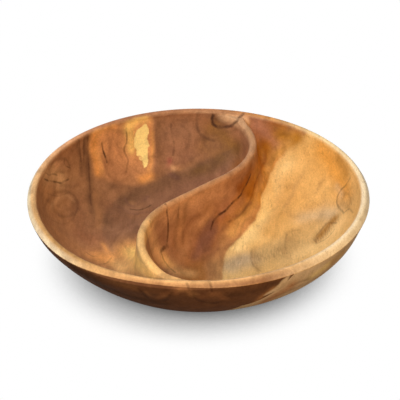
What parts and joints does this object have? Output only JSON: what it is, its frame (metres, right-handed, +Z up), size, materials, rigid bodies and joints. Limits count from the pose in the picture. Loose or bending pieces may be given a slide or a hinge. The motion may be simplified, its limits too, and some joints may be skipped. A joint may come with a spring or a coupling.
{
  "type": "divided bowl",
  "caption": "Round shallow wooden bowl with a full-round rim, a flat base and a raised S-shaped divider that parts it into comma-shaped compartments for snacks or dips.",
  "frame": {"origin": "centre of the flat base, on the surface that the bowl stands on", "axes": "+Z up through the bowl's axis; seen from -Y the divider's middle runs from the front left to the back right"},
  "size_m": [0.3, 0.3, 0.066],
  "materials": {
    "shell_wood": "satin oil over carved teak",
    "divider_wood": "satin oil over carved teak"
  },
  "bodies": {
    "root": {"bowl_shell": "shell_wood", "s_divider": "divider_wood"}
  },
  "joints": []
}
